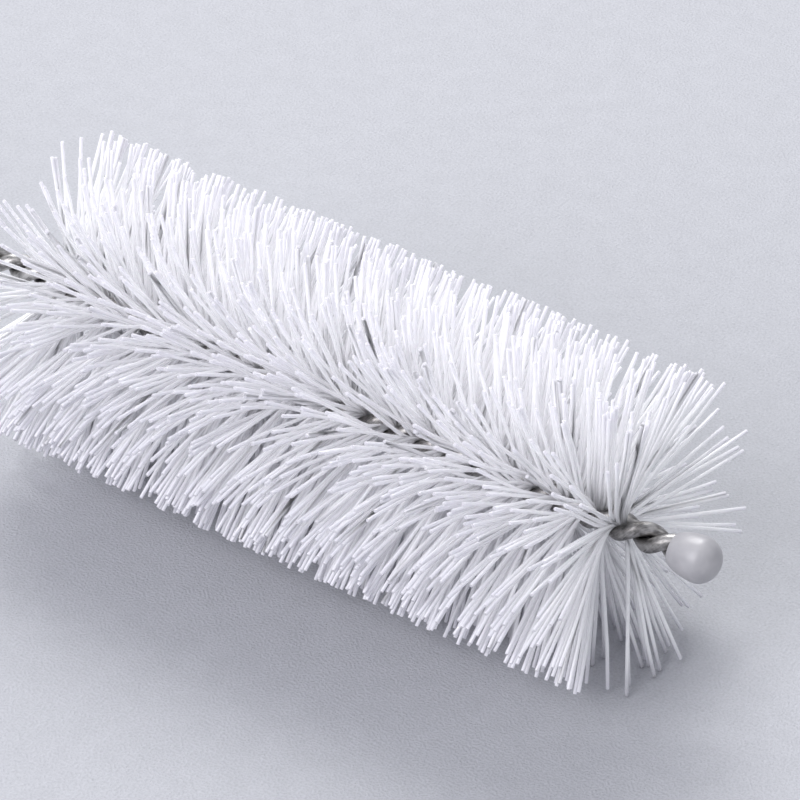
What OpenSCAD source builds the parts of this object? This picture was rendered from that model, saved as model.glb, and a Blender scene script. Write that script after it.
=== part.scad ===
// Small bottle brush for lab glassware: nylon bristles held in a twisted steel wire that has
// a hanging loop at one end and a plastic bead over its cut ends at the other.
// Millimetres, +Z up, +X along the wire towards the bead. It lies on its bristles at z = 0.

/* [Brush head] */
// Diameter over the trimmed bristles
head_d = 36; // [26:1:60]
// Length of the bristled part, measured along the wire
head_len = 74.5; // [50:0.5:110]
// How far the tips of the first tufts lean past their roots, towards the bead
nose_lean = 5.5; // [0:0.5:8]
// How far the tips of the last tufts lean past their roots, towards the loop
heel_lean = 2; // [0:0.5:6]
// How deep the bristles give way along the line that they lie on
rest_depth = 0.6; // [0.3:0.1:1.5]

/* [Wire] */
// Diameter of one strand
wire_d = 1.6; // [1:0.1:1.8]
// Length along the axis of one full turn of the pair
twist_pitch = 7.2; // [6.5:0.1:12]
// Bare wire between the bristles and the bead
nose_len = 6; // [3:0.5:15]
// Twisted wire between the bristles and the root of the loop
stem_len = 99.8; // [60:0.1:200]

/* [Hanging loop] */
// Clear width inside the loop
loop_d = 18; // [12:1:30]
// Distance from the end of the twist to the middle of the loop
neck_len = 15; // [13:1:30]

/* [Bead] */
// Length of the bead
bead_len = 5.3; // [5:0.1:9]
// Plastic around the wires at the widest place
bead_wall = 0.85; // [0.6:0.05:2]
// Plastic around the wires at the mouth
bead_lip = 0.15; // [0.1:0.05:0.5]
// Depth to which the pair goes into the bead
bead_grip = 3.4; // [2.4:0.1:3.8]

/* [Fits] */
// Gap between the two strands of the pair
strand_gap = 0.02; // [0.01:0.01:0.1]
// Gap around the pair in the bristles
bristle_fit = 0.02; // [0.01:0.01:0.2]
// Gap around the pair in the bead, and past its cut ends
bead_fit = 0.03; // [0.02:0.01:0.2]

/* [Hidden] */
$fn = 96;

head_r = head_d / 2;
axis_z = head_r - rest_depth;

// The pair of strands
strand_r = (wire_d + strand_gap) / 2;   // from the axis to the middle of a strand
pair_r = strand_r + wire_d / 2;         // from the axis to the outside of the pair
lay_angle = atan(360 / twist_pitch * strand_r * PI / 180);
cut_reach = wire_d / 2 * sin(lay_angle); // a square cut leans past the middle of its strand

// Places along the wire. The whole length is centred on x = 0.
loop_r = (loop_d + wire_d) / 2;         // from the loop's middle to the middle of its wire
total_len = bead_len + nose_len + head_len + stem_len + neck_len + loop_r + wire_d / 2;
tip_x = total_len / 2;
mouth_x = tip_x - bead_len;
wire_end_x = mouth_x + bead_grip - cut_reach;
nose_x = mouth_x - nose_len;
heel_x = nose_x - head_len;
root_x = heel_x - stem_len;
loop_x = root_x - neck_len;

// The bead
bore_r = pair_r + bead_fit;
mouth_r = bore_r + bead_lip;
bead_r = bore_r + bead_wall;
bead_wide = 0.58;                       // where the bead is widest, as a share of its length

// Fineness of the swept wire
wire_sides = 8;
rings_a_turn = 8;
neck_rings = 9;
loop_rings = 26;
leave_angle = 62;                       // where the neck meets the round of the loop
ease_len = twist_pitch / 2;             // the twist slackens over this length at the root

function unit(v) = v / norm(v);

// Angle of the twist at a distance from the root. The lay is left-handed.
function twist_angle(s) =
    -360 / twist_pitch * (s < ease_len ? s * s / (2 * ease_len) : s - ease_len / 2);

// A place on a strand: side is 1 for one strand and -1 for the other
function on_strand(s, side) =
    let (a = twist_angle(s))
    [root_x + s, side * strand_r * cos(a), side * strand_r * sin(a)];
function strand_out(s, side) =
    let (a = twist_angle(s))
    [0, side * cos(a), side * sin(a)];

// One side of the neck: a curve from the root to the round of the loop
function neck_point(t, side) =
    let (from = [root_x, strand_r],
         to = [loop_x + loop_r * cos(leave_angle), loop_r * sin(leave_angle)],
         pull = neck_len * 0.4,
         near = from - [pull, 0],
         far = to + pull * 0.8 * [sin(leave_angle), -cos(leave_angle)],
         p = pow(1 - t, 3) * from + 3 * pow(1 - t, 2) * t * near
             + 3 * (1 - t) * t * t * far + pow(t, 3) * to)
    [p[0], side * p[1], 0];
function neck_out(t, side) =
    let (a = 90 + (leave_angle - 90) * t)
    [cos(a), side * sin(a), 0];

function loop_point(a) = [loop_x + loop_r * cos(a), loop_r * sin(a), 0];
function loop_out(a) = [cos(a), sin(a), 0];

// The whole wire, from one cut end round the loop to the other: places and outward directions
twist_len = wire_end_x - root_x;
twist_rings = ceil(twist_len / twist_pitch * rings_a_turn);
twist_step = twist_len / twist_rings;
loop_sweep = 360 - 2 * leave_angle;

wire_path = concat(
    [for (i = [twist_rings : -1 : 0]) on_strand(i * twist_step, 1)],
    [for (i = [1 : neck_rings - 1]) neck_point(i / neck_rings, 1)],
    [for (i = [0 : loop_rings]) loop_point(leave_angle + loop_sweep * i / loop_rings)],
    [for (i = [neck_rings - 1 : -1 : 1]) neck_point(i / neck_rings, -1)],
    [for (i = [0 : twist_rings]) on_strand(i * twist_step, -1)]);
wire_out = concat(
    [for (i = [twist_rings : -1 : 0]) strand_out(i * twist_step, 1)],
    [for (i = [1 : neck_rings - 1]) neck_out(i / neck_rings, 1)],
    [for (i = [0 : loop_rings]) loop_out(leave_angle + loop_sweep * i / loop_rings)],
    [for (i = [neck_rings - 1 : -1 : 1]) neck_out(i / neck_rings, -1)],
    [for (i = [0 : twist_rings]) strand_out(i * twist_step, -1)]);

// A round wire swept along a path, with flat ends
module swept_wire(path, out, d, sides) {
    last = len(path) - 1;
    points = [for (i = [0 : last])
        let (run = unit(path[min(i + 1, last)] - path[max(i - 1, 0)]),
             side = unit(out[i] - (out[i] * run) * run),
             up = cross(run, side))
        for (k = [0 : sides - 1])
            path[i] + d / 2 * (cos(360 * k / sides) * side + sin(360 * k / sides) * up)];
    walls = [for (i = [0 : last - 1]) for (k = [0 : sides - 1])
        let (a = i * sides + k,
             b = i * sides + (k + 1) % sides)
        each [[a, b + sides, b], [a, a + sides, b + sides]]];
    first_end = [for (k = [0 : sides - 1]) k];
    last_end = [for (k = [sides - 1 : -1 : 0]) last * sides + k];
    polyhedron(points = points, faces = concat(walls, [first_end, last_end]));
}

// A shape turned about the wire's axis, from its outline as [along x, radius]
module turned(outline) {
    translate([0, 0, axis_z])
        rotate([0, 90, 0])
            rotate_extrude()
                polygon([for (p = outline) [p[1], p[0]]]);
}

// One steel wire: folded for the loop, its two legs twisted together down to their cut ends
module stem_wire() {
    color("darkgray")
        translate([0, 0, axis_z])
            swept_wire(wire_path, wire_out, wire_d, wire_sides);
}

// Outer shape of the trimmed bristles, with the flat that they lie on
module bristle_fill() {
    root_r = pair_r + bristle_fit;
    color("aliceblue")
        difference() {
            turned([[heel_x, root_r],
                    [heel_x - heel_lean, head_r],
                    [nose_x + nose_lean, head_r],
                    [nose_x, root_r]]);
            translate([heel_x - head_d, -head_d, -head_d])
                cube([head_len + 2 * head_d, 2 * head_d, head_d]);
        }
}

// Radius of the bead at a share of its length, counted from its mouth: two half ellipses
// that meet where it is widest, the first of them cut off where it is as wide as the mouth
bead_back = bead_wide / sqrt(1 - pow(mouth_r / bead_r, 2));
bead_front = 1 - bead_wide;
function bead_radius(t) =
    bead_r * sqrt(max(0, 1 - pow((t - bead_wide) / (t < bead_wide ? bead_back : bead_front), 2)));

// Egg-shaped bead with a blind bore for the ends of the wires
module tip_bead() {
    steps = 24;
    bore_x = mouth_x + bead_grip + bead_fit;
    color("gainsboro")
        turned(concat(
            [[bore_x, 0], [bore_x, bore_r], [mouth_x, bore_r]],
            [for (i = [0 : steps])
                let (t = (1 - cos(180 * i / steps)) / 2)
                [mouth_x + bead_len * t, bead_radius(t)]]));
}

stem_wire();
bristle_fill();
tip_bead();
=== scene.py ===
"""Small bottle brush for lab glassware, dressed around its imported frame.

The brush is three things: one steel wire, folded for a hanging loop and twisted on itself,
the nylon filaments held between its two strands, and a plastic bead over its cut ends.
Everything is in metres, in the frame's own axes: +Z up, +X along the wire towards the bead.
"""

import logging
import math
from dataclasses import dataclass, field
from enum import Enum

import bpy
import numpy as np
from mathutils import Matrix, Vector

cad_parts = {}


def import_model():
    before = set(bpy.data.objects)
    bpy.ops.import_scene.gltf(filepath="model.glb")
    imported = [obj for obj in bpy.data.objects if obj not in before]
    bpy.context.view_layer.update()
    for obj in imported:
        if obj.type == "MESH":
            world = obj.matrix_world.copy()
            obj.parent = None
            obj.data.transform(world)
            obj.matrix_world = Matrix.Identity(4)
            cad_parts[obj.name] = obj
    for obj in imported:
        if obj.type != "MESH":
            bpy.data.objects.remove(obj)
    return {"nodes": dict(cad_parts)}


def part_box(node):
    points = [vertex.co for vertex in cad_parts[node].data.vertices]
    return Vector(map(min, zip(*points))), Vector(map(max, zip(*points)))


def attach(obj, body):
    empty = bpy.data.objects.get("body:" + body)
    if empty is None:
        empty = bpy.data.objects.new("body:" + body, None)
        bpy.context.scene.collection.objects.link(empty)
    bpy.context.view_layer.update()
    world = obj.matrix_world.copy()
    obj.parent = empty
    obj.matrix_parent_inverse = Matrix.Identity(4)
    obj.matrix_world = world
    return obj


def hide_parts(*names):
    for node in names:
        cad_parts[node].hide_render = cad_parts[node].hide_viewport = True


LOG = logging.getLogger("bottle_brush")
MM = 0.001
MIX_COLOUR_INPUTS = (0, 6, 7)  # a Mix node's sockets for the share and the two colours
MIX_COLOUR_OUTPUT = 2


class Lay(Enum):
    """Hand of the twist: which way the strands wind as they run towards the bead."""

    LEFT = -1
    RIGHT = 1


class Zone(Enum):
    """Stretches of the brush head, from the loop's side to the bead's side."""

    HEEL = "heel_bristles"
    MIDDLE = "middle_bristles"
    NOSE = "nose_bristles"


# ---------------------------------------------------------------- materials


class NodeTree:
    """A material's nodes, made and wired in short calls."""

    def __init__(self, name: str) -> None:
        """Starts an empty material.

        Args:
            name: name of the new material.
        """
        self.material = bpy.data.materials.new(name)
        self.material.use_nodes = True
        self.tree = self.material.node_tree
        self.tree.nodes.clear()

    def node(self, kind: str, settings: dict | None = None, **sockets: object) -> bpy.types.Node:
        """Adds a node.

        Args:
            kind: the node's type name without the ShaderNode prefix.
            settings: attributes of the node itself.
            **sockets: input name, with _ for a space, to a value or an output to link.

        Returns:
            The new node.
        """
        made = self.tree.nodes.new("ShaderNode" + kind)
        for key, value in (settings or {}).items():
            setattr(made, key, value)
        for key, value in sockets.items():
            self.plug(made, key.replace("_", " "), value)
        return made

    def plug(self, node: bpy.types.Node, socket: str | int, value: object) -> None:
        """Sets or links one input.

        Args:
            node: the node that has the input.
            socket: the input's name or index.
            value: a plain value, or an output socket to link from.
        """
        if isinstance(value, bpy.types.NodeSocket):
            self.tree.links.new(value, node.inputs[socket])
        else:
            node.inputs[socket].default_value = value

    def maths(self, operation: str, first: object, second: object = 0.0) -> bpy.types.NodeSocket:
        """Works out one number.

        Args:
            operation: a Math node's operation.
            first: value or output.
            second: value or output.

        Returns:
            The result's socket.
        """
        made = self.node("Math", {"operation": operation})
        self.plug(made, 0, first)
        self.plug(made, 1, second)
        return made.outputs[0]

    def stretched(self, value: object, factor: float, offset: float) -> bpy.types.NodeSocket:
        """Multiplies a number and adds to it.

        Args:
            value: value or output.
            factor: what it is multiplied by.
            offset: what is added after that.

        Returns:
            The result's socket.
        """
        result = self.maths("MULTIPLY_ADD", value, factor)
        self.plug(result.node, 2, offset)
        return result

    def blended(self, blend: str, share: object, first: object, second: object) -> bpy.types.NodeSocket:
        """Blends two colours.

        Args:
            blend: a Mix node's way of blending.
            share: how much of the effect, from 0 to 1.
            first: colour or output.
            second: colour or output.

        Returns:
            The colour's socket.
        """
        made = self.node("Mix", {"data_type": "RGBA", "blend_type": blend})
        for place, value in zip(MIX_COLOUR_INPUTS, (share, first, second)):
            self.plug(made, place, value)
        return made.outputs[MIX_COLOUR_OUTPUT]

    def ramp(self, fac: bpy.types.NodeSocket, stops: list[tuple[float, tuple]]) -> bpy.types.NodeSocket:
        """Turns a number into a colour.

        Args:
            fac: the number.
            stops: places from 0 to 1, each with its colour.

        Returns:
            The colour's socket.
        """
        made = self.node("ValToRGB", Fac=fac)
        elements = made.color_ramp.elements
        while len(elements) < len(stops):
            elements.new(0.5)
        for element, (place, colour) in zip(elements, stops):
            element.position = place
            element.color = (*colour, 1.0)
        return made.outputs["Color"]

    def noise(self, vector: bpy.types.NodeSocket, size: float, detail: float = 2.0) -> bpy.types.NodeSocket:
        """Adds soft noise with blotches of a real size.

        Args:
            vector: coordinates in metres.
            size: width of a blotch in metres.
            detail: how many finer layers it has.

        Returns:
            The noise's socket, around 0.5.
        """
        made = self.node("TexNoise", Vector=vector, Scale=1.0 / size, Detail=detail)
        return made.outputs["Fac"]

    def bump(self, height: bpy.types.NodeSocket, depth: float, strength: float) -> bpy.types.NodeSocket:
        """Turns a height into a normal.

        Args:
            height: the height, from 0 to 1.
            depth: real depth in metres that 1 stands for.
            strength: share of the effect.

        Returns:
            The normal's socket.
        """
        made = self.node("Bump", Strength=strength, Distance=depth, Height=height)
        return made.outputs["Normal"]

    def attribute(self, name: str) -> bpy.types.NodeSocket:
        """Reads a number stored on the mesh."""
        return self.node("Attribute", {"attribute_name": name}).outputs["Fac"]

    def place(self) -> bpy.types.NodeSocket:
        """Coordinates in metres, in the piece's own frame."""
        return self.node("TexCoord").outputs["Object"]

    def finish(self, surface: bpy.types.Node) -> bpy.types.Material:
        """Wires the surface to the output and hands the material over."""
        out = self.node("OutputMaterial")
        self.tree.links.new(surface.outputs[0], out.inputs["Surface"])
        return self.material


@dataclass(frozen=True)
class WhiteNylon:
    """Extruded nylon filament: milky white with a faint lavender tone, softly glossy."""

    # core to tip colours: the nylon's own lavender tint, with the tips painted darker as shade against the
    # light they catch
    core: tuple = (0.996, 0.994, 0.999)
    middle: tuple = (0.990, 0.987, 0.997)
    tip: tuple = (0.815, 0.803, 0.85)
    middle_reach: float = 0.70
    batch_spread: float = 0.03
    roughness: float = 0.24
    roughness_spread: float = 0.16
    milkiness: float = 0.45 * MM  # how far light wanders inside a filament
    cut_roughness: float = 0.45
    # painted shade on the cut ends, dimming their bright caps
    cut_end_shade: float = 0.25
    streak: float = 0.25 * MM
    streak_relief: float = 0.004 * MM
    ior: float = 1.53

    def material(self) -> bpy.types.Material:
        """Builds the material.

        Returns:
            The new material, which reads the attributes reach, batch and cut.
        """
        nodes = NodeTree("white_nylon")
        reach = nodes.attribute("reach")
        batch = nodes.attribute("batch")
        cut = nodes.attribute("cut")
        # painted shade: the colour darkens from the core out to the tips to even out the light that the tips
        # catch
        shade = nodes.ramp(reach, [(0.0, self.core), (self.middle_reach, self.middle), (1.0, self.tip)])
        spread = nodes.stretched(batch, self.batch_spread, 1 - self.batch_spread)
        # the real tone of each filament batch, with painted shade darkening the cut ends
        tone_and_cut_shade = nodes.maths("ADD", spread, nodes.maths("MULTIPLY", cut, -self.cut_end_shade))
        streak = nodes.noise(nodes.place(), self.streak)
        rough = nodes.stretched(streak, self.roughness_spread, self.roughness - self.roughness_spread / 2)
        surface = nodes.node(
            "BsdfPrincipled",
            Base_Color=nodes.blended("MULTIPLY", 1.0, shade, tone_and_cut_shade),
            Roughness=nodes.maths("ADD", rough, nodes.maths("MULTIPLY", cut, self.cut_roughness)),
            IOR=self.ior,
            Subsurface_Weight=1.0,
            Subsurface_Radius=(1.0, 1.0, 1.0),
            Subsurface_Scale=self.milkiness,
            Normal=nodes.bump(streak, self.streak_relief, 0.5),
        )
        return nodes.finish(surface)


@dataclass(frozen=True)
class DrawnSteel:
    """Drawn steel wire: grey with a warm tone, fine draw lines along it, and painted shade darkening it
    where the strands meet.
    """

    bright: tuple = (0.62, 0.605, 0.585)
    dull: tuple = (0.12, 0.114, 0.11)
    # painted shade colour, laid where the two strands meet
    crevice_shade: tuple = (0.02, 0.018, 0.02)
    dull_below: float = 0.38
    bright_above: float = 0.60
    dull_roughness: float = 0.54
    roughness_drop: float = 0.30
    draw_line: float = 0.05 * MM
    draw_share: float = 0.45
    draw_stretch: float = 25.0  # how much longer a draw line is than it is wide
    draw_relief: float = 0.006 * MM
    blotch: float = 1.1 * MM

    def material(self) -> bpy.types.Material:
        """Builds the material.

        Returns:
            The new material, which reads the attributes run, turn and inner, the last being painted shade
            between the strands.
        """
        nodes = NodeTree("drawn_steel")
        along = nodes.maths("MULTIPLY", nodes.attribute("run"), 1 / self.draw_stretch)
        lines = nodes.node("CombineXYZ", X=along, Y=nodes.attribute("turn"))
        scratch = nodes.noise(lines.outputs[0], self.draw_line, 3.0)
        blotch = nodes.noise(nodes.place(), self.blotch, 4.0)
        drawn = nodes.maths("MULTIPLY", scratch, self.draw_share)
        wear = nodes.maths("ADD", drawn, nodes.maths("MULTIPLY", blotch, 1 - self.draw_share))
        metal = nodes.ramp(wear, [(self.dull_below, self.dull), (self.bright_above, self.bright)])
        surface = nodes.node(
            "BsdfPrincipled",
            # the crevice colour mixed in here is painted shade between the strands
            Base_Color=nodes.blended("MIX", nodes.attribute("painted_crevice_shade"), metal, (*self.crevice_shade, 1.0)),
            Metallic=1.0,
            Roughness=nodes.stretched(wear, -self.roughness_drop, self.dull_roughness),
            Normal=nodes.bump(scratch, self.draw_relief, 0.6),
        )
        return nodes.finish(surface)


@dataclass(frozen=True)
class MouldedBead:
    """Satin pale grey plastic, with the faint waviness of a small moulding."""

    light: tuple = (0.46, 0.455, 0.465)
    dark: tuple = (0.40, 0.394, 0.408)
    roughness: float = 0.34
    roughness_spread: float = 0.12
    cloud: float = 2.2 * MM
    wave: float = 0.9 * MM
    wave_relief: float = 0.02 * MM
    grain: float = 0.08 * MM
    milkiness: float = 0.6 * MM
    ior: float = 1.50

    def material(self) -> bpy.types.Material:
        """Builds the material.

        Returns:
            The new material.
        """
        nodes = NodeTree("moulded_bead")
        place = nodes.place()
        cloud = nodes.noise(place, self.cloud, 3.0)
        wave = nodes.noise(place, self.wave, 2.0)
        grain = nodes.noise(place, self.grain, 1.0)
        smoothest = self.roughness - self.roughness_spread / 2
        surface = nodes.node(
            "BsdfPrincipled",
            Base_Color=nodes.ramp(cloud, [(0.38, self.dark), (0.62, self.light)]),
            Roughness=nodes.stretched(grain, self.roughness_spread, smoothest),
            IOR=self.ior,
            Subsurface_Weight=0.15,
            Subsurface_Radius=(1.0, 0.95, 0.9),
            Subsurface_Scale=self.milkiness,
            Coat_Weight=0.06,
            Coat_Roughness=0.2,
            Normal=nodes.bump(wave, self.wave_relief, 0.5),
        )
        return nodes.finish(surface)


@dataclass(frozen=True)
class MattTable:
    """Pale blue-grey matt table top with a fine pebbled grain."""

    colour: tuple = (0.448, 0.455, 0.480)
    grain: float = 0.30 * MM
    speckle: float = 0.40
    relief: float = 0.15 * MM
    cloud: float = 3.0 * MM
    cloud_depth: float = 0.035
    roughness: float = 0.62

    def material(self) -> bpy.types.Material:
        """Builds the material.

        Returns:
            The new material.
        """
        nodes = NodeTree("matt_table")
        place = nodes.place()
        pebbles = nodes.noise(place, self.grain, 2.0)
        cloud = nodes.noise(place, self.cloud, 3.0)
        darker = tuple((1 - self.cloud_depth) * part for part in self.colour)
        tone = nodes.ramp(cloud, [(0.35, darker), (0.65, self.colour)])
        surface = nodes.node(
            "BsdfPrincipled",
            Base_Color=nodes.blended(
                "MULTIPLY", 1.0, tone, nodes.stretched(pebbles, self.speckle, 1 - self.speckle / 2)
            ),
            Roughness=self.roughness,
            Specular_IOR_Level=0.35,
            Normal=nodes.bump(pebbles, self.relief, 0.9),
        )
        return nodes.finish(surface)


# ---------------------------------------------------------------- meshes


def unit(vectors: np.ndarray) -> np.ndarray:
    """Scales vectors in the last axis to a length of 1."""
    return vectors / np.linalg.norm(vectors, axis=-1, keepdims=True)


def curve(
    t: np.ndarray, start: np.ndarray, near: np.ndarray, far: np.ndarray, end: np.ndarray
) -> np.ndarray:
    """Places on a smooth curve with two guides.

    Args:
        t: shares of the way, from 0 to 1.
        start: where it begins.
        near: the guide that it leaves towards.
        far: the guide that it comes in from.
        end: where it ends.

    Returns:
        The places, in the shape of t against the points.
    """
    return (1 - t) ** 3 * start + 3 * (1 - t) ** 2 * t * near + 3 * (1 - t) * t**2 * far + t**3 * end


def tube_points(path: np.ndarray, beside: np.ndarray, radius: np.ndarray, sides: int) -> np.ndarray:
    """Lays round rings along paths.

    Args:
        path: middles of the rings, as (tubes, rings, 3).
        beside: a direction roughly across the path at each ring, of the same shape.
        radius: radius of each ring, as (tubes, rings).
        sides: points in a ring.

    Returns:
        The rings' points, as (tubes, rings, sides, 3).
    """
    run = unit(np.gradient(path, axis=1))
    across = unit(beside - (beside * run).sum(-1, keepdims=True) * run)
    up = np.cross(run, across)
    angle = np.arange(sides) * (2 * math.pi / sides)
    ring = np.cos(angle)[:, None] * across[:, :, None, :] + np.sin(angle)[:, None] * up[:, :, None, :]
    return path[:, :, None, :] + radius[:, :, None, None] * ring


def tube_mesh(name: str, points: np.ndarray, numbers: dict[str, np.ndarray]) -> bpy.types.Object:
    """Makes closed tubes from their rings, all in one mesh.

    Args:
        name: name of the new object.
        points: the rings' points, as (tubes, rings, sides, 3).
        numbers: attribute names, each with one number for each point as (tubes, rings, sides).

    Returns:
        The new object, shaded smooth apart from its flat ends.
    """
    tubes, rings, sides, _ = points.shape
    index = np.arange(tubes * rings * sides).reshape(tubes, rings, sides)
    after = np.roll(index, -1, axis=2)
    walls = np.stack([index[:, :-1], after[:, :-1], after[:, 1:], index[:, 1:]], axis=-1).reshape(-1, 4)
    ends = np.concatenate([index[:, 0, ::-1], index[:, -1]])
    mesh = bpy.data.meshes.new(name)
    mesh.vertices.add(index.size)
    mesh.vertices.foreach_set("co", points.reshape(-1).astype(np.float32))
    mesh.loops.add(walls.size + ends.size)
    mesh.loops.foreach_set("vertex_index", np.concatenate([walls.ravel(), ends.ravel()]).astype(np.int32))
    mesh.polygons.add(len(walls) + len(ends))
    wall_starts = np.arange(len(walls)) * 4
    end_starts = walls.size + np.arange(len(ends)) * sides
    mesh.polygons.foreach_set("loop_start", np.concatenate([wall_starts, end_starts]).astype(np.int32))
    smooth = np.concatenate([np.ones(len(walls), bool), np.zeros(len(ends), bool)])
    mesh.update(calc_edges=True)
    mesh.polygons.foreach_set("use_smooth", smooth)
    for key, values in numbers.items():
        stored = mesh.attributes.new(key, "FLOAT", "POINT")
        spread = np.broadcast_to(values, (tubes, rings, sides))
        stored.data.foreach_set("value", spread.ravel().astype(np.float32))
    mesh.validate()
    return linked(bpy.data.objects.new(name, mesh))


def linked(thing: bpy.types.Object) -> bpy.types.Object:
    """Puts an object in the scene."""
    bpy.context.scene.collection.objects.link(thing)
    return thing


def declare(piece: bpy.types.Object, node: str, material: bpy.types.Material) -> None:
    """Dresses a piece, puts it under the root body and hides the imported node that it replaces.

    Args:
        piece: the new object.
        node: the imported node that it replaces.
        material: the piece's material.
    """
    piece.data.materials.append(material)
    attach(piece, "root")
    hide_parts(node)


# ---------------------------------------------------------------- the wire


@dataclass
class TwistedWire:
    """One steel wire: a loop, and two legs twisted together down to their cut ends."""

    axis_z: float
    loop_end_x: float
    cut_x: float
    root_x: float
    strand_d: float = 1.6 * MM
    strand_gap: float = 0.02 * MM
    pitch: float = 7.2 * MM
    loop_d: float = 18.0 * MM
    leave_angle: float = math.radians(62.0)
    lay: Lay = Lay.LEFT
    crevice_shade_reach: float = 0.62  # where the painted shade between the strands ends, in strand diameters
    crevice_shade_gain: float = 1.5
    sides: int = 20
    rings_a_turn: int = 30
    loop_rings: int = 120
    neck_rings: int = 40
    finish: DrawnSteel = field(default_factory=DrawnSteel)

    @property
    def strand_r(self) -> float:
        """Distance from the axis to the middle of a strand."""
        return (self.strand_d + self.strand_gap) / 2

    @property
    def loop_r(self) -> float:
        """Distance from the middle of the loop to the middle of its wire."""
        return (self.loop_d + self.strand_d) / 2

    @property
    def loop_x(self) -> float:
        """Place of the loop's middle along the wire."""
        return self.loop_end_x + self.loop_r + self.strand_d / 2

    def twist_angle(self, x: np.ndarray) -> np.ndarray:
        """Angle of the first strand about the axis.

        Args:
            x: places along the axis.

        Returns:
            The angles in radians. The twist slackens over its last half turn at the loop's root.
        """
        ease = self.pitch / 2
        run = x - self.root_x
        turned = np.where(run < ease, run * run / (2 * ease), run - ease / 2)
        return self.lay.value * 2 * math.pi / self.pitch * turned

    def leg(self, side: int) -> tuple[np.ndarray, np.ndarray]:
        """One twisted leg, from the loop's root to its cut end.

        Args:
            side: 1 for the first strand and -1 for the other.

        Returns:
            Places on the leg, and directions away from the axis.
        """
        count = math.ceil((self.cut_x - self.root_x) / self.pitch * self.rings_a_turn)
        x = np.linspace(self.root_x, self.cut_x, count + 1)
        angle = self.twist_angle(x)
        out = np.stack([0 * x, side * np.cos(angle), side * np.sin(angle)], axis=1)
        return np.stack([x, 0 * x, 0 * x], axis=1) + self.strand_r * out, out

    def neck(self, side: int) -> tuple[np.ndarray, np.ndarray]:
        """The curve from the twist's root to the round of the loop.

        Args:
            side: 1 for the first strand and -1 for the other.

        Returns:
            Places between the two ends, and directions away from the loop's inside.
        """
        t = np.linspace(0, 1, self.neck_rings + 1)[1:-1, None]
        lean = np.array([math.sin(self.leave_angle), -math.cos(self.leave_angle)])
        start = np.array([self.root_x, self.strand_r])
        end = np.array([self.loop_x, 0]) + self.loop_r * np.array([-lean[1], lean[0]])
        pull = 0.4 * (self.root_x - self.loop_x)
        near, far = start - np.array([pull, 0]), end + 0.8 * pull * lean
        flat = curve(t, start, near, far, end)
        angle = math.pi / 2 + (self.leave_angle - math.pi / 2) * t[:, 0]
        places = np.stack([flat[:, 0], side * flat[:, 1], 0 * flat[:, 0]], axis=1)
        return places, np.stack([np.cos(angle), side * np.sin(angle), 0 * angle], axis=1)

    def whole_path(self) -> tuple[np.ndarray, np.ndarray]:
        """The whole wire from one cut end, round the loop, to the other.

        Returns:
            Places along the wire, and outward directions.
        """
        first, first_out = self.leg(1)
        second, second_out = self.leg(-1)
        neck, neck_out = self.neck(1)
        back, back_out = self.neck(-1)
        angle = np.linspace(self.leave_angle, 2 * math.pi - self.leave_angle, self.loop_rings + 1)
        loop_out = np.stack([np.cos(angle), np.sin(angle), 0 * angle], axis=1)
        loop = np.array([self.loop_x, 0, 0]) + self.loop_r * loop_out
        places = np.concatenate([first[::-1], neck, loop, back[::-1], second])
        outward = np.concatenate([first_out[::-1], neck_out, loop_out, back_out[::-1], second_out])
        return places + np.array([0, 0, self.axis_z]), outward

    def build(self) -> list[bpy.types.Object]:
        """Sweeps and dresses the wire.

        Returns:
            The new piece, in a list.
        """
        places, outward = self.whole_path()
        run = np.concatenate([[0], np.cumsum(np.linalg.norm(np.diff(places, axis=0), axis=1))])
        radius = np.full(len(places), self.strand_d / 2)
        points = tube_points(places[None], outward[None], radius[None], self.sides)
        from_axis = np.hypot(points[..., 1], points[..., 2] - self.axis_z)
        twisted = points[..., 0] > self.root_x
        # painted shade mask: darkest on the axis between the strands, fading out across them
        depth = 1 - from_axis / (self.crevice_shade_reach * self.strand_d)
        painted_crevice_shade = np.clip(self.crevice_shade_gain * depth, 0, 1) ** 1.5 * twisted
        turn = np.arange(self.sides) / self.sides * math.pi * self.strand_d
        piece = tube_mesh("twisted_wire", points, {"run": run[None, :, None], "turn": turn, "painted_crevice_shade": painted_crevice_shade})
        declare(piece, "stem_wire", self.finish.material())
        return [piece]


# ---------------------------------------------------------------- the bristles


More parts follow.
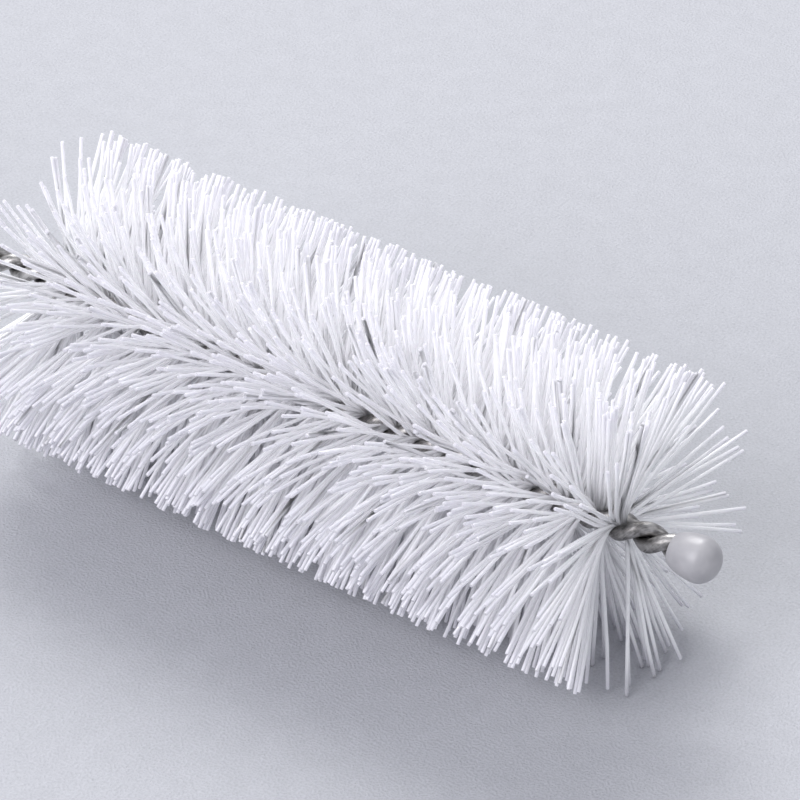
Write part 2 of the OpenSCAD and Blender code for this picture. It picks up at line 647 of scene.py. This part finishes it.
@dataclass
class BristleHead:
    """The nylon filaments, each one held at its middle between the two strands."""

    wire: TwistedWire
    heel_x: float
    nose_x: float
    head_r: float
    heel_lean: float
    nose_lean: float
    filament_d: float = 0.42 * MM
    filaments: int = 1300
    lean_reach: float = 4.0 * MM  # the lean of the end tufts dies away over this length
    fan: float = math.radians(90.0)  # furthest that a filament is spread from where it is pinched
    fan_share: float = 0.42  # part of the spread that is about the axis; the rest is along it
    arm_fan: float = math.radians(5.0)  # scatter of each arm by itself
    tip_scatter: float = 0.34 * MM  # scatter of the tips along the axis
    trim_scatter: float = 0.38 * MM  # unevenness of the trim
    clump: float = 0.24 * MM  # how far neighbouring tips drift together
    bow: float = 0.22 * MM  # scatter of the bend in the middle of an arm
    short_share: float = 0.02
    leave: float = 3.2 * MM  # stretch in which an arm still points as it was pinched
    clump_waves: int = 7
    clump_wave: tuple[float, float] = (2.6 * MM, 6.5 * MM)
    clumps_around: int = 16
    lean_spread: tuple[float, float] = (0.6, 1.1)
    short_by: tuple[float, float] = (1.5 * MM, 6.0 * MM)
    steps: tuple[float, ...] = (0, 0.07, 0.15, 0.26, 0.42, 0.62, 0.82, 1.0)
    bevel: float = 0.14  # length of the worn edge at a cut, in filament diameters
    bevel_r: float = 0.8  # radius of the cut face, in filament radii
    sides: int = 8
    seed: int = 20
    finish: WhiteNylon = field(default_factory=WhiteNylon)

    def clumped(self, x: np.ndarray, angle: np.ndarray, dice: np.random.Generator) -> np.ndarray:
        """Slow drifts that draw neighbouring tips together or apart.

        Args:
            x: places of the roots along the axis.
            angle: angles of the arms about it.
            dice: source of random numbers.

        Returns:
            A drift for each arm, around 0 and about 1 wide.
        """
        drift = np.zeros_like(x)
        for _ in range(self.clump_waves):
            wave = 2 * math.pi / dice.uniform(*self.clump_wave)
            around = dice.integers(-self.clumps_around, self.clumps_around + 1)
            drift += np.sin(wave * x + around * angle + dice.uniform(0, 2 * math.pi))
        return drift / math.sqrt(self.clump_waves / 2)

    def arm(
        self, x: np.ndarray, pinch: np.ndarray, fan: np.ndarray, dice: np.random.Generator
    ) -> np.ndarray:
        """Centre lines of one arm of each filament, from the wire to its cut tip.

        Args:
            x: places of the roots along the axis.
            pinch: angles at which the arms leave the wire.
            fan: how far each filament is spread from there, round the wire and along it.
            dice: source of random numbers.

        Returns:
            Places as (filaments, steps, 3), with the first on the axis.
        """
        count = len(x)
        angle = pinch + self.fan_share * fan + dice.normal(0, self.arm_fan, count)
        slide = -self.wire.lay.value * (1 - self.fan_share) * fan * self.wire.pitch / (2 * math.pi)
        drift = self.clump * self.clumped(x, angle, dice)
        swing = self.clump / self.head_r * self.clumped(x, angle, dice)
        to_nose = np.exp((x - self.nose_x) / self.lean_reach)
        to_heel = np.exp((self.heel_x - x) / self.lean_reach)
        lean = (self.nose_lean * to_nose - self.heel_lean * to_heel) * dice.uniform(*self.lean_spread, count)
        reach = self.head_r - np.abs(dice.normal(0, self.trim_scatter, count))
        reach -= (dice.random(count) < self.short_share) * dice.uniform(*self.short_by, count)
        tip_x = x + slide + lean + drift + dice.normal(0, self.tip_scatter, count)
        tip_angle = angle + swing
        out = np.stack([0 * x, np.cos(tip_angle), np.sin(tip_angle)], axis=1)
        tip = np.stack([tip_x, 0 * x, 0 * x], axis=1) + reach[:, None] * out
        root = np.stack([x, 0 * x, 0 * x], axis=1)
        first = root + self.leave * np.stack([0 * x, np.cos(pinch), np.sin(pinch)], axis=1)
        across = np.stack([0 * x, -np.sin(tip_angle), np.cos(tip_angle)], axis=1)
        bend = dice.normal(0, self.bow, (2, count))
        last = tip - 0.5 * reach[:, None] * out
        last[:, 0] -= 0.5 * (tip_x - x) + bend[0]
        last += bend[1][:, None] * across
        t = np.array(self.steps)[None, :, None]
        return curve(t, root[:, None], first[:, None], last[:, None], tip[:, None])

    def build(self) -> list[bpy.types.Object]:
        """Grows and dresses the filaments, in one piece for each zone of the head.

        Returns:
            The new pieces.
        """
        dice = np.random.default_rng(self.seed)
        step = (self.nose_x - self.heel_x) / self.filaments
        x = self.heel_x + step * (np.arange(self.filaments) + dice.uniform(0, 1, self.filaments))
        pinch = self.wire.twist_angle(x) + math.pi / 2
        fan = dice.uniform(-self.fan, self.fan, self.filaments)
        ahead = self.arm(x, pinch, fan, dice)
        behind = self.arm(x, pinch + math.pi, fan, dice)
        path = np.concatenate([ahead[:, :0:-1], behind], axis=1)
        path[..., 2] = np.maximum(path[..., 2] + self.wire.axis_z, self.filament_d / 2)
        bevel = self.bevel * self.filament_d
        first_end = path[:, :1] + unit(path[:, :1] - path[:, 1:2]) * bevel
        last_end = path[:, -1:] + unit(path[:, -1:] - path[:, -2:-1]) * bevel
        path = np.concatenate([first_end, path, last_end], axis=1)
        path[..., 2] = np.maximum(path[..., 2], self.filament_d / 2)
        radius = np.full(path.shape[:2], self.filament_d / 2)
        radius[:, [0, -1]] *= self.bevel_r
        beside = np.broadcast_to(np.array([1.0, 0.0, 0.0]), path.shape)
        points = tube_points(path, beside, radius, self.sides)
        from_axis = np.hypot(points[..., 1], points[..., 2] - self.wire.axis_z)
        cut = np.zeros(points.shape[:3])
        cut[:, [0, -1]] = 1
        numbers = {"reach": np.clip(from_axis / self.head_r, 0, 1), "cut": cut}
        batch = dice.random((self.filaments, 1, 1))
        material = self.finish.material()
        pieces = []
        shares = np.array_split(np.arange(self.filaments), len(Zone))
        for zone, share in zip(Zone, shares):
            values = {key: value[share] for key, value in numbers.items()}
            piece = tube_mesh(zone.value, points[share], {**values, "batch": batch[share]})
            declare(piece, "bristle_fill", material)
            pieces.append(piece)
        return pieces


# ---------------------------------------------------------------- the bead


@dataclass
class TipBead:
    """Egg-shaped bead over the cut ends, with a blind bore for the pair of strands."""

    axis_z: float
    mouth_x: float
    tip_x: float
    bead_r: float
    bore_r: float = 1.64 * MM
    mouth_r: float = 1.79 * MM
    grip: float = 3.4 * MM
    widest: float = 0.58  # where the bead is widest, as a share of its length
    lip_round: float = 0.06 * MM
    steps: int = 40
    sides: int = 64
    finish: MouldedBead = field(default_factory=MouldedBead)

    def outline(self) -> np.ndarray:
        """Outline of the bead from the end of its bore, out over the lip, nearly to its nose.

        Returns:
            Points as (place along the wire, radius).
        """
        length = self.tip_x - self.mouth_x
        back = self.widest / math.sqrt(1 - (self.mouth_r / self.bead_r) ** 2)
        t = (1 - np.cos(np.linspace(0, math.pi, self.steps + 1))) / 2
        span = np.where(t < self.widest, back, 1 - self.widest)
        radius = self.bead_r * np.sqrt(np.maximum(0, 1 - ((t - self.widest) / span) ** 2))
        x = self.mouth_x + length * t
        lip = [(self.mouth_x + self.lip_round, self.bore_r), (self.mouth_x, self.bore_r + self.lip_round)]
        bore = [(self.mouth_x + self.grip, self.bore_r)]
        return np.array(bore + lip + list(zip(x, radius))[:-1])

    def build(self) -> list[bpy.types.Object]:
        """Turns and dresses the bead.

        Returns:
            The new piece, in a list.
        """
        outline = self.outline()
        path = np.stack([outline[:, 0], 0 * outline[:, 0], np.full(len(outline), self.axis_z)], axis=1)
        angle = np.arange(self.sides) * (2 * math.pi / self.sides)
        ring = np.stack([0 * angle, np.cos(angle), np.sin(angle)], axis=1)
        points = path[:, None] + outline[:, 1][:, None, None] * ring[None]
        piece = tube_mesh("tip_bead_moulding", points[None], {})
        declare(piece, "tip_bead", self.finish.material())
        return [piece]


# ---------------------------------------------------------------- the studio


@dataclass(frozen=True)
class SoftLight:
    """A square soft box, aimed at the brush from a direction."""

    name: str
    azimuth: float
    elevation: float
    distance: float
    size: float
    power: float
    colour: tuple = (1.0, 1.0, 1.0)

    def build(self, aim: Vector) -> bpy.types.Object:
        """Hangs the light.

        Args:
            aim: the point that it faces.

        Returns:
            The new light.
        """
        data = bpy.data.lights.new(self.name, "AREA")
        data.shape = "SQUARE"
        data.size = self.size
        data.energy = self.power
        data.color = self.colour
        light = linked(bpy.data.objects.new(self.name, data))
        face(light, aim, direction(self.azimuth, self.elevation), self.distance)
        return light


def direction(azimuth: float, elevation: float) -> Vector:
    """Direction towards a viewer.

    Args:
        azimuth: degrees about +Z. At 0 the viewer looks along +Y.
        elevation: degrees above the horizon.

    Returns:
        A vector of length 1 from the brush towards the viewer.
    """
    a, e = math.radians(azimuth), math.radians(elevation)
    return Vector((math.sin(a) * math.cos(e), -math.cos(a) * math.cos(e), math.sin(e)))


def face(thing: bpy.types.Object, aim: Vector, back: Vector, distance: float) -> None:
    """Places a lamp or a camera so that it looks at a point.

    Args:
        thing: the lamp or camera.
        aim: the point.
        back: direction from the point towards it.
        distance: how far from the point it is.
    """
    thing.location = aim + distance * back
    thing.rotation_euler = back.to_track_quat("Z", "Y").to_euler()


@dataclass
class Studio:
    """Table, soft lights, pale surroundings and the camera."""

    head_middle: Vector
    azimuth: float = 35.9
    elevation: float = 36.0
    distance: float = 0.496
    lens: float = 213.1
    sensor: float = 36.0
    clip: tuple[float, float] = (0.01, 20.0)
    aim_along: float = 8.7 * MM
    aim_up: float = 4.0 * MM
    table_size: float = 6.0
    surround: tuple = (0.88, 0.90, 1.0)
    surround_strength: float = 0.51
    table: MattTable = field(default_factory=MattTable)
    lights: tuple[SoftLight, ...] = (
        SoftLight("key", azimuth=-140.0, elevation=47.0, distance=1.2, size=0.6, power=11.6),
        SoftLight(
            "front_fill",
            azimuth=-16.0,
            elevation=38.0,
            distance=1.4,
            size=1.0,
            power=14.8,
            colour=(0.965, 0.955, 1.0),
        ),
        SoftLight("side_fill", azimuth=115.0, elevation=34.0, distance=1.2, size=0.8, power=1.6),
    )
    bounces: int = 32
    diffuse_bounces: int = 24

    def build_table(self) -> bpy.types.Object:
        """Lays the table top at the height that the brush lies on.

        Returns:
            The new stage piece.
        """
        half = self.table_size / 2
        mesh = bpy.data.meshes.new("table_top")
        corners = [(-half, -half, 0), (half, -half, 0), (half, half, 0), (-half, half, 0)]
        mesh.from_pydata(corners, [], [(0, 1, 2, 3)])
        top = linked(bpy.data.objects.new("table_top", mesh))
        mesh.materials.append(self.table.material())
        return top

    def build_surround(self) -> None:
        """Gives the world a pale even light."""
        world = bpy.data.worlds.new("pale_room")
        world.use_nodes = True
        background = world.node_tree.nodes["Background"]
        background.inputs["Color"].default_value = (*self.surround, 1.0)
        background.inputs["Strength"].default_value = self.surround_strength
        bpy.context.scene.world = world

    def build_camera(self) -> bpy.types.Object:
        """Places the camera.

        Returns:
            The new camera.
        """
        data = bpy.data.cameras.new("camera")
        data.sensor_width = self.sensor
        data.lens = self.lens
        data.clip_start, data.clip_end = self.clip
        camera = linked(bpy.data.objects.new("camera", data))
        aim = self.head_middle + Vector((self.aim_along, 0, self.aim_up))
        face(camera, aim, direction(self.azimuth, self.elevation), self.distance)
        bpy.context.scene.camera = camera
        return camera

    def build(self) -> None:
        """Builds the whole studio."""
        self.build_table()
        self.build_surround()
        self.build_camera()
        for light in self.lights:
            light.build(self.head_middle)
            LOG.info("%s: %.1f m soft box", light.name, light.size)
        scene = bpy.context.scene
        scene.view_settings.view_transform = "Standard"
        scene.cycles.max_bounces = self.bounces
        scene.cycles.diffuse_bounces = self.diffuse_bounces


# ---------------------------------------------------------------- the whole brush


@dataclass
class BottleBrush:
    """The whole brush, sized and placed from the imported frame."""

    stem_len: float = 99.8 * MM
    heel_lean: float = 2.0 * MM
    nose_lean: float = 5.5 * MM
    cut_depth: float = 2.94 * MM  # from the mouth of the bead to the cut ends of the wire
    wire: TwistedWire = field(init=False)
    head: BristleHead = field(init=False)
    bead: TipBead = field(init=False)

    def __post_init__(self) -> None:
        """Sizes and places the wire, the head and the bead inside their packed boxes."""
        fill_low, fill_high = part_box("bristle_fill")
        bead_low, bead_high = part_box("tip_bead")
        wire_low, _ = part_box("stem_wire")
        axis_z = (bead_low[2] + bead_high[2]) / 2
        heel_x, nose_x = fill_low[0] + self.heel_lean, fill_high[0] - self.nose_lean
        self.wire = TwistedWire(
            axis_z=axis_z,
            loop_end_x=wire_low[0],
            cut_x=bead_low[0] + self.cut_depth,
            root_x=heel_x - self.stem_len,
        )
        self.head = BristleHead(
            wire=self.wire,
            heel_x=heel_x,
            nose_x=nose_x,
            head_r=(fill_high[1] - fill_low[1]) / 2,
            heel_lean=self.heel_lean,
            nose_lean=self.nose_lean,
        )
        self.bead = TipBead(
            axis_z=axis_z,
            mouth_x=bead_low[0],
            tip_x=bead_high[0],
            bead_r=(bead_high[2] - bead_low[2]) / 2,
        )

    @property
    def head_middle(self) -> Vector:
        """The middle of the bristled part, on the wire's axis."""
        return Vector(((self.head.heel_x + self.head.nose_x) / 2, 0, self.wire.axis_z))


def main() -> None:
    """Builds the brush piece by piece, then its studio."""
    logging.basicConfig(level=logging.INFO, format="%(message)s")
    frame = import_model()
    LOG.info("frame: %s", ", ".join(sorted(frame["nodes"])))
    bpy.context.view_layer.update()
    brush = BottleBrush()
    for assembly in (brush.wire, brush.head, brush.bead):
        for piece in assembly.build():
            LOG.info("%s: %d points in %s", piece.name, len(piece.data.vertices), piece.active_material.name)
    Studio(brush.head_middle).build()


if __name__ == "__main__":
    main()
